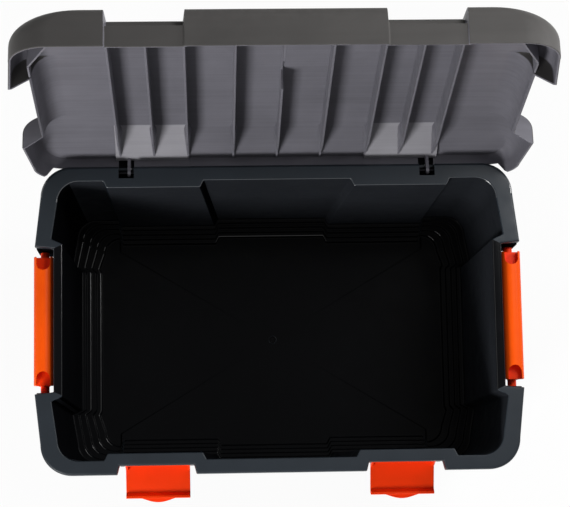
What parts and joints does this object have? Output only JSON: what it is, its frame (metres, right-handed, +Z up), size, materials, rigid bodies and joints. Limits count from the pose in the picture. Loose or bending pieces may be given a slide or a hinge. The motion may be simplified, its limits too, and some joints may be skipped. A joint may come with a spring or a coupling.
{
  "type": "storage box",
  "caption": "Moulded plastic expedition box: a deep tub with a stepped floor edge, an open hinged lid ribbed inside, swing latches at the front and folding handles at the sides.",
  "frame": {"origin": "middle of the footprint, on the surface that the box stands on", "axes": "+X to the right as seen from the latch side, +Y towards the hinges, +Z up"},
  "size_m": [0.613, 0.5162, 0.6537],
  "materials": {
    "body_plastic": "dark slate polypropylene, satin outside and smoother inside",
    "lid_plastic": "mid grey polypropylene, satin",
    "orange_plastic": "orange plastic, satin",
    "pin_steel": "drawn steel rod, blackened"
  },
  "bodies": {
    "body": {"body": "body_plastic", "hinge_pin_left": "pin_steel", "hinge_pin_right": "pin_steel", "latch_pin_left": "pin_steel", "latch_pin_right": "pin_steel"},
    "lid": {"lid": "lid_plastic"},
    "latch_left": {"front_latch_left": "orange_plastic"},
    "latch_right": {"front_latch_right": "orange_plastic"},
    "handle_left": {"side_handle_left": "orange_plastic"},
    "handle_right": {"side_handle_right": "orange_plastic"}
  },
  "joints": [
    {"name": "lid_hinge", "type": "hinge", "parent": "body", "child": "lid", "pos_m": [0, 0.183, 0.28], "axis": [1, 0, 0], "range_deg": [0, 101]},
    {"name": "latch_left_pivot", "type": "hinge", "parent": "body", "child": "latch_left", "pos_m": [-0.152, -0.1745, 0.255], "axis": [-1, 0, 0], "range_deg": [0, 107]},
    {"name": "latch_right_pivot", "type": "hinge", "parent": "body", "child": "latch_right", "pos_m": [0.152, -0.1745, 0.255], "axis": [-1, 0, 0], "range_deg": [0, 107]},
    {"name": "handle_left_pivot", "type": "hinge", "parent": "body", "child": "handle_left", "pos_m": [-0.29, 0, 0.25], "axis": [0, -1, 0], "range_deg": [0, 180]},
    {"name": "handle_right_pivot", "type": "hinge", "parent": "body", "child": "handle_right", "pos_m": [0.29, 0, 0.25], "axis": [0, 1, 0], "range_deg": [0, 180]}
  ]
}
